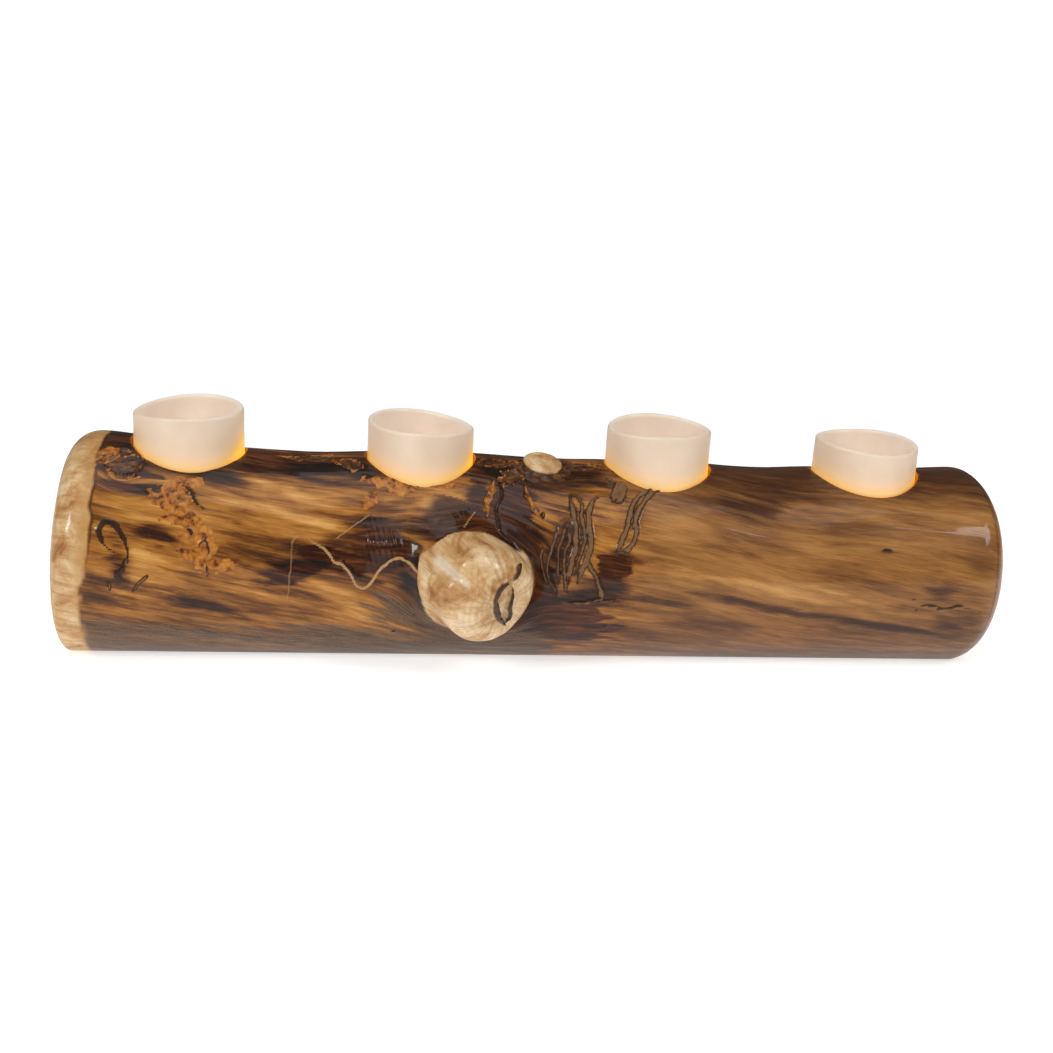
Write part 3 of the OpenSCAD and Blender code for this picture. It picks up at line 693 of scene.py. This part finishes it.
def wax_profile(top):
    """Radius and height around the wax, from the foot over the melted rim to the floor and back."""
    outer, lip = CANDLE_D / 2, CANDLE_TOP_D / 2
    inner = lip - WAX_WALL + 0.1
    wall = [(lerp(outer, lip, smooth(t)), lerp(0.5, top - 2, t)) for t in np.linspace(0, 1, 26)]
    rim = [(lip, top - 1.3), (lip - 0.08, top - 0.8), (lip - 0.3, top - 0.4),
           (lip - 0.7, top - 0.12), (lip - 1.2, top), (lip - 1.7, top - 0.06),
           (inner + 0.7, top - 0.22), (inner + 0.3, top - 0.6), (inner + 0.08, top - 1.2)]
    inside = [(lerp(inner, inner - 0.3, t), lerp(top - 2, WAX_FLOOR + 4, t))
              for t in np.linspace(0, 1, 14)]
    floor = [(inner - 0.6, 26.6), (inner - 1.2, 25.4), (inner - 2.2, 24.6), (inner - 4, 24.1)]
    floor += [(r, WAX_FLOOR + 0.12 * math.cos(r)) for r in np.linspace(inner - 6, 7, 8)]
    under = [(WICK_HOLE_R + 0.2, 23.9), (WICK_HOLE_R, 23.4), (WICK_HOLE_R, WAX_UNDER),
             (12, WAX_UNDER), (CUP_R, WAX_UNDER), (CUP_R, 12), (CUP_R, 0.2), (22.7, 0), (25.2, 0)]
    return np.array(wall + rim + inside + floor + under)


def build_wax(k, wax):
    steps = 240
    rings = []
    for i in range(steps):
        a = 360 * i / steps
        profile = wax_profile(rim_z(k, a))
        r, z = profile[:, 0], profile[:, 1]
        around = np.full_like(z, a * 0.43)
        soft = 0.10 * field(around, z, 9, 7, 20 + k) + 0.05 * field(around, z, 3, 4, 30 + k)
        melted = smooth((z - 23) / 3) * smooth((r - 6.5) / 3)
        r = r + np.minimum(soft * melted, 0.1)
        rings.append(np.stack([r * cos(a), r * sin(a), z], -1))
    points = np.array(rings)
    n = points.shape[1]
    index = np.arange(steps * n).reshape(steps, n)
    ahead, up = np.roll(index, -1, axis=0), np.roll(index, -1, axis=1)
    corner = np.roll(ahead, -1, axis=1)
    quads = np.stack([index, ahead, corner, up], -1).reshape(-1, 4)
    local = points.reshape(-1, 3)
    world = local + np.array([SEATS[k], 0, SEAT_FLOORS[k]])
    x, y, z = world.T
    wood_top = pith_z(x) + np.sqrt(np.maximum(trunk_r(x) ** 2 - y ** 2, 0))
    above = np.maximum(z - wood_top, 0)
    below = np.maximum(wood_top - z, 0)
    radius = np.hypot(local[:, 0], local[:, 1])
    side = local[:, 0] / np.maximum(radius, 1e-6)
    outside = smooth((radius - 23.6) / 1.2)
    # Painted glow: emission in the wax near the wood stands in for the LED's light shining through
    # it; stronger on the +x side, fading down into the seat
    painted_glow = outside * (0.22 * np.exp(-above / 4) + 0.16 * np.exp(-above / 11))
    lit_side = smooth((side - 0.55) / 0.5) * (0.3 + 0.7 * smooth((side - 0.8) / 0.2))
    painted_glow = painted_glow + outside * 0.75 * lit_side * np.exp(-above / 6.5)
    painted_glow = painted_glow * np.exp(-below / 22)
    name = f"candle_{k + 1}_wax"
    mesh = bpy.data.meshes.new(name)
    mesh.from_pydata((world * MM).tolist(), [], quads.tolist())
    inside = (1 - outside) * smooth((local[:, 2] - 23) / 2)
    set_attribute(mesh, "painted_glow", painted_glow)
    set_attribute(mesh, "inside", inside)
    mesh.materials.append(wax)
    mesh.shade_smooth()
    mesh.set_sharp_from_angle(angle=SHARP)
    shell = put_in_scene(name, mesh)
    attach(shell, f"candle_{k + 1}")
    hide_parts(f"candle_{k + 1}_wax_shell")


# ---- Materials


def srgb(r, g, b):
    """Linear colour of the 0 to 255 values."""
    linear = [c / 3294.6 if c <= 10.31 else ((c / 255 + 0.055) / 1.055) ** 2.4 for c in (r, g, b)]
    return (*linear, 1.0)


class Shader:
    """A material with a short way to add nodes: a value is a constant or another node's output."""

    def __init__(self, name):
        self.material = bpy.data.materials.new(name)
        self.material.use_nodes = True
        self.tree = self.material.node_tree
        self.tree.nodes.clear()
        # Object coordinates in millimetres
        self.place = self.scaled(self.add("TexCoord").outputs["Object"], (1000, 1000, 1000))

    def add(self, kind, inputs=None, **settings):
        node = self.tree.nodes.new("ShaderNode" + kind)
        for key, value in settings.items():
            setattr(node, key, value)
        for key, value in (inputs or {}).items():
            self.put(node.inputs[key], value)
        return node

    def put(self, socket, value):
        if isinstance(value, bpy.types.NodeSocket):
            self.tree.links.new(value, socket)
        else:
            socket.default_value = value

    def math(self, operation, a, b=0.0, c=0.0):
        return self.add("Math", {0: a, 1: b, 2: c}, operation=operation).outputs[0]

    def times(self, a, b):
        return self.math("MULTIPLY", a, b)

    def times_plus(self, a, b, c):
        """a times b, plus c."""
        return self.math("MULTIPLY_ADD", a, b, c)

    def vary(self, noise, share, base):
        """The base, moved up and down by a share of a noise around its middle."""
        return self.times_plus(self.math("SUBTRACT", noise, 0.5), share, base)

    def mix(self, share, a, b):
        return self.add("Mix", {0: share, 6: a, 7: b}, data_type="RGBA").outputs[2]

    def over(self, mask, share, under, colour):
        """A share of a colour over another, where the mask is."""
        return self.mix(self.times(mask, share), under, colour)

    def ramp(self, value, *stops):
        """Colours along a value; each stop is its place and its 0 to 255 values."""
        node = self.add("ValToRGB", {0: value})
        elements = node.color_ramp.elements
        elements[0].position, elements[1].position = stops[0][0], stops[-1][0]
        elements[0].color, elements[1].color = srgb(*stops[0][1]), srgb(*stops[-1][1])
        for place, colour in stops[1:-1]:
            elements.new(place).color = srgb(*colour)
        return node.outputs[0]

    def step(self, value, low, high):
        """0 below low, 1 above high, smooth between."""
        inputs = {0: value, 1: low, 2: high}
        return self.add("MapRange", inputs, interpolation_type="SMOOTHSTEP").outputs[0]

    def scaled(self, vector, scale, place=(0, 0, 0)):
        return self.add("Mapping", {"Vector": vector, "Scale": scale, "Location": place}).outputs[0]

    def noise(self, vector, scale=1.0, detail=4.0, rough=0.55, distort=0.0):
        inputs = {"Vector": vector, "Scale": scale, "Detail": detail, "Roughness": rough,
                  "Distortion": distort}
        return self.add("TexNoise", inputs).outputs[0]

    def attribute(self, name, output="Fac"):
        return self.add("Attribute", attribute_name=name).outputs[output]

    def bump(self, height, strength, distance):
        inputs = {"Height": height, "Strength": strength, "Distance": distance}
        return self.add("Bump", inputs).outputs[0]

    def finish(self, **inputs):
        inputs = {key.replace("_", " "): value for key, value in inputs.items()}
        self.add("OutputMaterial", {0: self.add("BsdfPrincipled", inputs).outputs[0]})
        return self.material


def make_wood():
    s = Shader("peeled_wood")
    grain = s.attribute("grain", "Vector")
    tone_and_shade, wild = s.attribute("tone_and_shade"), s.attribute("wild")
    streak = s.noise(s.scaled(grain, (0.014, 0.11, 0)), 1, 10, 0.6, 0.6)
    narrow = s.noise(s.scaled(grain, (0.038, 0.42, 0), (5, 2, 0)), 1, 8, 0.62, 0.5)
    fibre = s.noise(s.scaled(grain, (0.10, 2.4, 0), (1, 7, 0)), 1, 3, 0.6)
    cloud = s.noise(s.scaled(grain, (0.024, 0.05, 0), (9, 4, 0)), 1, 7, 0.6, 0.8)
    speck = s.noise(s.place, 0.9, 3, 0.6)
    mottle = s.noise(s.place, 0.3, 5, 0.6, 0.3)

    pattern = s.times(s.math("SUBTRACT", streak, 0.5), 1.15)
    pattern = s.vary(narrow, 0.75, pattern)
    pattern = s.vary(cloud, 0.6, pattern)
    value = s.vary(fibre, 0.34, 0.45)
    value = s.times_plus(pattern, wild, value)
    # Random tone clouds, and painted shade on the top and underside of the log
    value = s.times_plus(tone_and_shade, 0.68, value)
    skin = s.ramp(value, (0.0, (24, 14, 9)), (0.16, (56, 29, 13)), (0.32, (104, 60, 22)),
                  (0.48, (152, 97, 38)), (0.62, (180, 122, 54)), (0.78, (206, 152, 82)),
                  (1.0, (228, 184, 120)))
    olive = s.ramp(value, (0.2, (78, 50, 32)), (0.45, (138, 98, 60)), (0.7, (182, 140, 90)))
    skin = s.over(s.step(wild, 0.9, 0.5), 0.42, skin, olive)
    # Purplish brown creeps into the darker streaks
    purple = s.times(s.step(cloud, 0.5, 0.64), s.step(value, 0.5, 0.2))
    skin = s.over(purple, 0.35, skin, srgb(84, 42, 26))

    def ragged(name, spread=0.5, low=0.4, high=0.6, by=narrow):
        shifted = s.vary(by, spread, s.attribute(name))
        return s.step(shifted, low, high)
    # Near-black stains, and painted shade in the crevice round the stub
    stain_and_shade = ragged("stain_and_shade", 0.8, 0.15, 0.55)
    dark = s.ramp(narrow, (0.33, (28, 9, 3)), (0.5, (56, 24, 7)), (0.66, (104, 54, 20)))
    colour = s.over(stain_and_shade, 0.95, skin, dark)
    weather = ragged("weather", 0.8, 0.2, 0.8)
    grey = s.ramp(fibre, (0.3, (54, 42, 34)), (0.5, (94, 74, 56)), (0.7, (130, 106, 82)))
    grey = s.mix(s.step(speck, 0.58, 0.66), grey, srgb(56, 46, 42))
    colour = s.over(weather, 0.72, colour, grey)
    orange = ragged("orange", 0.4, 0.3, 0.5, mottle)
    amber = s.ramp(mottle, (0.36, (66, 32, 12)), (0.43, (132, 74, 24)), (0.52, (172, 104, 38)),
                   (0.68, (200, 136, 62)))
    colour = s.over(orange, 0.9, colour, amber)
    bark = ragged("bark", 0.7, 0.4, 0.6, mottle)
    crust = s.ramp(mottle, (0.32, (30, 18, 12)), (0.5, (78, 48, 26)), (0.66, (126, 80, 38)))
    colour = s.mix(bark, colour, crust)
    worn = s.attribute("groove")
    groove = s.step(worn, 0.12, 0.45)
    gallery = s.ramp(s.vary(speck, 0.5, worn), (0.3, (44, 26, 18)), (0.75, (62, 40, 28)),
                     (1.0, (122, 90, 60)))
    colour = s.over(groove, 0.92, colour, gallery)

    # Bare cut wood: growth rings on the ends, the stub and the knot
    bare = s.attribute("bare")
    along, _, rings = s.add("SeparateXYZ", {0: grain}).outputs
    wander = s.noise(s.place, 0.05, 3, 0.5)
    ring_phase = s.times_plus(wander, 14.0, s.times(rings, 2.4))
    ring_wave = s.times_plus(s.math("SINE", ring_phase), 0.5, 0.5)
    blotch = s.noise(s.place, 0.075, 6, 0.62, 0.6)
    cut = s.ramp(blotch, (0.32, (146, 98, 54)), (0.42, (190, 144, 92)), (0.52, (212, 176, 128)),
                 (0.66, (232, 206, 166)))
    near_face, at_face = HALF - 4, HALF - 0.5
    face = s.math("ADD", s.step(along, -near_face, -at_face), s.step(along, near_face, at_face))
    rind = s.times(s.step(along, -214.0, -206.0), s.step(along, -190.0, -200.0))
    cut = s.over(face, 0.65, cut, srgb(206, 168, 116))
    ring_share = s.times_plus(face, 0.3, 0.14)
    cut = s.over(ring_wave, ring_share, cut, srgb(160, 106, 58))
    veins = s.times(s.step(narrow, 0.48, 0.64), s.times_plus(rind, -0.35, 0.5))
    cut = s.mix(veins, cut, srgb(156, 104, 58))
    cut = s.over(s.step(speck, 0.56, 0.7), 0.3, cut, srgb(132, 84, 48))
    tip = s.step(along, 150.0, 160.0)
    cut = s.over(rind, 0.6, cut, s.mix(mottle, srgb(140, 88, 34), srgb(206, 150, 70)))
    cut = s.over(tip, s.times_plus(face, -0.6, 0.8), cut, srgb(142, 92, 42))
    colour = s.mix(bare, colour, cut)
    slit = s.step(s.attribute("slit"), 0.3, 0.75)
    black = s.mix(s.step(speck, 0.4, 0.64), srgb(22, 11, 6), srgb(52, 28, 15))
    colour = s.over(slit, 0.92, colour, black)
    thread = s.step(s.attribute("thread"), 0.3, 0.75)
    colour = s.over(thread, 0.85, colour, s.mix(fibre, srgb(176, 132, 84), srgb(200, 156, 106)))
    # Painted highlight along the stub's ridge, near white
    colour = s.over(s.attribute("painted_highlight"), 0.6, colour, srgb(240, 226, 204))

    rough = s.times_plus(fibre, 0.25, 0.26)
    rough = s.times_plus(weather, 0.16, rough)
    rough = s.times_plus(s.times(stain_and_shade, -1.0), 0.12, rough)
    height = s.times_plus(fibre, 0.5, s.times(narrow, 0.9))
    coarse = s.math("MAXIMUM", s.math("MAXIMUM", bark, orange), s.times(weather, 0.5))
    height = s.times_plus(s.times(speck, coarse), 1.2, height)
    normal = s.bump(height, 0.45, 0.0004)
    coat = s.times_plus(groove, -0.26, 0.32)
    return s.finish(Base_Color=colour, Roughness=rough, Normal=normal, Coat_Weight=coat,
                    Coat_Roughness=0.06, Coat_IOR=1.5, Specular_IOR_Level=0.12)


def make_bored_wood():
    s = Shader("bored_wood")
    fibre = s.noise(s.scaled(s.place, (0.05, 0.8, 0.8)), 1, 6, 0.6, 0.3)
    tool = s.add("TexWave", {"Vector": s.place, "Scale": 0.22, "Distortion": 1.5, "Detail": 2.0},
                 bands_direction="Z").outputs[0]
    colour = s.ramp(fibre, (0.3, (140, 92, 48)), (0.5, (190, 140, 84)), (0.7, (218, 178, 122)))
    colour = s.over(tool, 0.2, colour, srgb(120, 72, 36))
    height = s.math("ADD", fibre, s.times(tool, 0.6))
    return s.finish(Base_Color=colour, Roughness=s.times_plus(fibre, 0.3, 0.45),
                    Normal=s.bump(height, 0.5, 0.0005))


def make_wax():
    s = Shader("ivory_wax")
    cloud = s.noise(s.place, 0.045, 4, 0.5, 0.4)
    fine = s.noise(s.place, 0.9, 3, 0.5)
    painted_glow, inside = s.attribute("painted_glow"), s.attribute("inside")
    colour = s.ramp(cloud, (0.3, (222, 204, 183)), (0.7, (234, 217, 198)))
    # Painted glow: warmer colour and amber emission where the painted glow is, and a dim grey
    # emission that lightens the inside of the cup
    colour = s.mix(s.step(painted_glow, 0.0, 0.5), colour, srgb(252, 200, 120))
    light = s.ramp(painted_glow, (0.0, (62, 36, 8)), (0.08, (90, 56, 16)), (0.3, (150, 112, 40)),
                   (0.6, (226, 160, 30)), (1.0, (255, 186, 20)))
    light = s.mix(inside, light, srgb(110, 106, 106))
    height = s.times_plus(cloud, 1.0, s.times(fine, 0.12))
    return s.finish(Base_Color=colour, Roughness=s.times_plus(fine, 0.12, 0.38),
                    Subsurface_Weight=0.25, Subsurface_Radius=(0.006, 0.004, 0.002),
                    Subsurface_Scale=1.0, Emission_Color=light, Emission_Strength=0.8,
                    Normal=s.bump(height, 0.25, 0.0006))


def make_plastic(name, low, high, gloss, grain_scale=1.4):
    """Moulded plastic: a faint flow pattern and fine spark-eroded texture."""
    s = Shader(name)
    flow_mark = s.noise(s.scaled(s.place, (0.05, 0.05, 0.2)), 1, 3, 0.5, 0.8)
    texture = s.noise(s.place, grain_scale, 4, 0.6)
    colour = s.mix(flow_mark, low, high)
    return s.finish(Base_Color=colour, Roughness=s.times_plus(texture, 0.2, gloss),
                    Normal=s.bump(texture, 0.35, 0.00012))


def make_metal(name, low, high, gloss, stretch):
    """Stamped sheet: fine drawn lines, with slight tarnish."""
    s = Shader(name)
    lines = s.noise(s.scaled(s.place, stretch), 1, 4, 0.6)
    tarnish = s.noise(s.place, 0.25, 4, 0.6)
    colour = s.mix(s.step(tarnish, 0.4, 0.7), high, low)
    rough = s.times_plus(lines, 0.22, gloss)
    return s.finish(Base_Color=colour, Metallic=1.0, Roughness=rough,
                    Normal=s.bump(lines, 0.3, 0.0001))


def make_board():
    s = Shader("circuit_board")
    cells = s.add("TexVoronoi", {"Vector": s.scaled(s.place, (0.35, 0.35, 0)), "Scale": 1.0},
                  feature="DISTANCE_TO_EDGE", distance="MANHATTAN").outputs[0]
    traces = s.step(cells, 0.10, 0.07)
    weave = s.noise(s.scaled(s.place, (3, 3, 1)), 1, 2, 0.5)
    mask = s.mix(weave, srgb(10, 62, 34), srgb(18, 84, 46))
    colour = s.mix(traces, mask, srgb(44, 122, 62))
    return s.finish(Base_Color=colour, Roughness=s.times_plus(weave, 0.15, 0.25),
                    Normal=s.bump(s.math("ADD", traces, weave), 0.4, 0.0001))


AMBER = srgb(255, 150, 40)


def make_lens():
    s = Shader("amber_lens")
    frost = s.noise(s.place, 1.2, 4, 0.6)
    upward = s.noise(s.scaled(s.place, (0.2, 0.2, 0.5)), 1, 2, 0.5)
    colour = s.mix(upward, srgb(250, 206, 140), srgb(255, 226, 176))
    light = s.mix(upward, AMBER, srgb(255, 186, 84))
    return s.finish(Base_Color=colour, Roughness=s.times_plus(frost, 0.25, 0.3),
                    Subsurface_Weight=0.3, Subsurface_Radius=(0.004, 0.002, 0.001),
                    Subsurface_Scale=1.0, Emission_Color=light, Emission_Strength=0.15,
                    Normal=s.bump(frost, 0.4, 0.00015))


def make_led():
    s = Shader("led_epoxy")
    swirl = s.noise(s.place, 0.5, 3, 0.5, 0.6)
    colour = s.mix(swirl, srgb(236, 150, 40), srgb(250, 186, 80))
    return s.finish(Base_Color=colour, Roughness=s.times_plus(swirl, 0.12, 0.08),
                    Emission_Color=AMBER, Emission_Strength=1.0,
                    Normal=s.bump(swirl, 0.1, 0.0001))


def dress_cad_nodes():
    """Gives each CAD node that stays in view its finish, by the piece's name."""
    ivory = make_plastic("ivory_plastic", srgb(222, 210, 188), srgb(236, 226, 206), 0.34)
    black = make_plastic("black_plastic", srgb(18, 18, 20), srgb(34, 33, 34), 0.3, 2.2)
    steel = make_metal("steel", srgb(126, 126, 130), srgb(196, 196, 200), 0.18, (0.4, 6, 6))
    brass = make_metal("spring_brass", srgb(150, 112, 52), srgb(226, 186, 108), 0.2, (5, 0.4, 0.4))
    finishes = {
        "core_cup": ivory, "base_plate": ivory, "battery_door": ivory,
        "flame_lens": make_lens(), "led": make_led(), "circuit_board": make_board(),
        "control_chip": black, "switch_knob": black, "switch_case": steel, "coin_cell": steel,
        "base_screws": steel, "contact_plus": brass, "contact_minus": brass,
    }
    for name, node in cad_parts.items():
        for piece, finish in finishes.items():
            if name.endswith(piece):
                node.data.materials.clear()
                node.data.materials.append(finish)


# ---- Camera, floor and light
AZIMUTH, ELEVATION, ROLL = (math.radians(angle) for angle in (7.215, 16.6, 3.325))
DISTANCE, TARGET = 0.6365, Vector((-0.00648, 0, 0.0579))
SENSOR = 36
FOCAL_SHARE = 1.2336    # focal length over the width of the frame
FLOOR = [(-0.9, -0.7, 0), (0.9, -0.7, 0), (0.9, 0.6, 0), (-0.9, 0.6, 0)]
FLOOR_GLOW = 0.62
SKY_TURN, SKY_LIGHT = (-0.6, 0.5), (0.26, 0.09)   # light from the front, and from behind
# Name, place, aim, size in metres and power in watts
LIGHTS = [
    ("overhead", (-0.1, -0.1, 1.2), (0, 0, 0.05), (1.4, 0.8), 5.5),
    ("front_right", (1.03, -0.80, 1.12), (0.165, 0, 0.05), (0.5, 0.5), 7.5),
    ("front_left", (-1.2, -0.9, 0.9), (-0.05, 0, 0.05), (0.36, 0.36), 9.5),
]


def make_camera():
    level = Vector((math.cos(AZIMUTH), -math.sin(AZIMUTH), 0))
    ahead = Vector((math.sin(AZIMUTH) * math.cos(ELEVATION),
                    math.cos(AZIMUTH) * math.cos(ELEVATION), -math.sin(ELEVATION)))
    above = level.cross(ahead)
    right = math.cos(ROLL) * level + math.sin(ROLL) * above
    up = math.cos(ROLL) * above - math.sin(ROLL) * level
    camera = put_in_scene("camera", bpy.data.cameras.new("camera"))
    camera.data.sensor_width = SENSOR
    camera.data.lens = SENSOR * FOCAL_SHARE
    camera.data.clip_start = 0.01
    turned = Matrix((right, up, -ahead)).transposed().to_4x4()
    camera.matrix_world = Matrix.Translation(TARGET - DISTANCE * ahead) @ turned
    bpy.context.scene.camera = camera


def area_light(name, place, aim, size, power):
    data = bpy.data.lights.new(name, "AREA")
    data.shape = "RECTANGLE"
    data.size, data.size_y = size
    data.energy = power
    light = put_in_scene(name, data)
    light.location = place
    light.rotation_euler = (Vector(aim) - Vector(place)).to_track_quat("-Z", "Y").to_euler()


def make_studio():
    mesh = bpy.data.meshes.new("floor")
    mesh.from_pydata(FLOOR, [], [(0, 1, 2, 3)])
    floor = put_in_scene("floor", mesh)
    s = Shader("floor")
    tint = s.noise(s.place, 0.003, 2, 0.5)
    pale = s.mix(tint, (0.80, 0.80, 0.80, 1), (0.82, 0.82, 0.82, 1))
    mesh.materials.append(s.finish(Base_Color=pale, Roughness=0.8, Emission_Color=(1, 1, 1, 1),
                                   Emission_Strength=FLOOR_GLOW))
    # The camera sees white; the light it gives comes more from the front than from behind
    world = bpy.data.worlds.new("studio")
    world.use_nodes = True
    tree = world.node_tree
    new, link = tree.nodes.new, tree.links.new
    ahead = new("ShaderNodeSeparateXYZ")
    link(new("ShaderNodeTexCoord").outputs["Generated"], ahead.inputs[0])
    seen = new("ShaderNodeLightPath").outputs["Is Camera Ray"]
    given, strength = new("ShaderNodeMapRange"), new("ShaderNodeMapRange")
    for socket, value in zip(given.inputs[1:5], SKY_TURN + SKY_LIGHT):
        socket.default_value = value
    link(ahead.outputs["Y"], given.inputs[0])
    link(seen, strength.inputs[0])
    link(given.outputs[0], strength.inputs[3])
    strength.inputs[4].default_value = 1.0
    link(strength.outputs[0], tree.nodes["Background"].inputs[1])
    tree.nodes["Background"].inputs[0].default_value = (1, 1, 1, 1)
    bpy.context.scene.world = world
    for light in LIGHTS:
        area_light(*light)
    bpy.context.scene.view_settings.view_transform = "Standard"


make_camera()
make_studio()
dress_cad_nodes()
log = build_log()
cut_seats(log, make_wood(), make_bored_wood())
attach(log, "log")
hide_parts("log")
ivory_wax = make_wax()
for k in range(4):
    build_wax(k, ivory_wax)
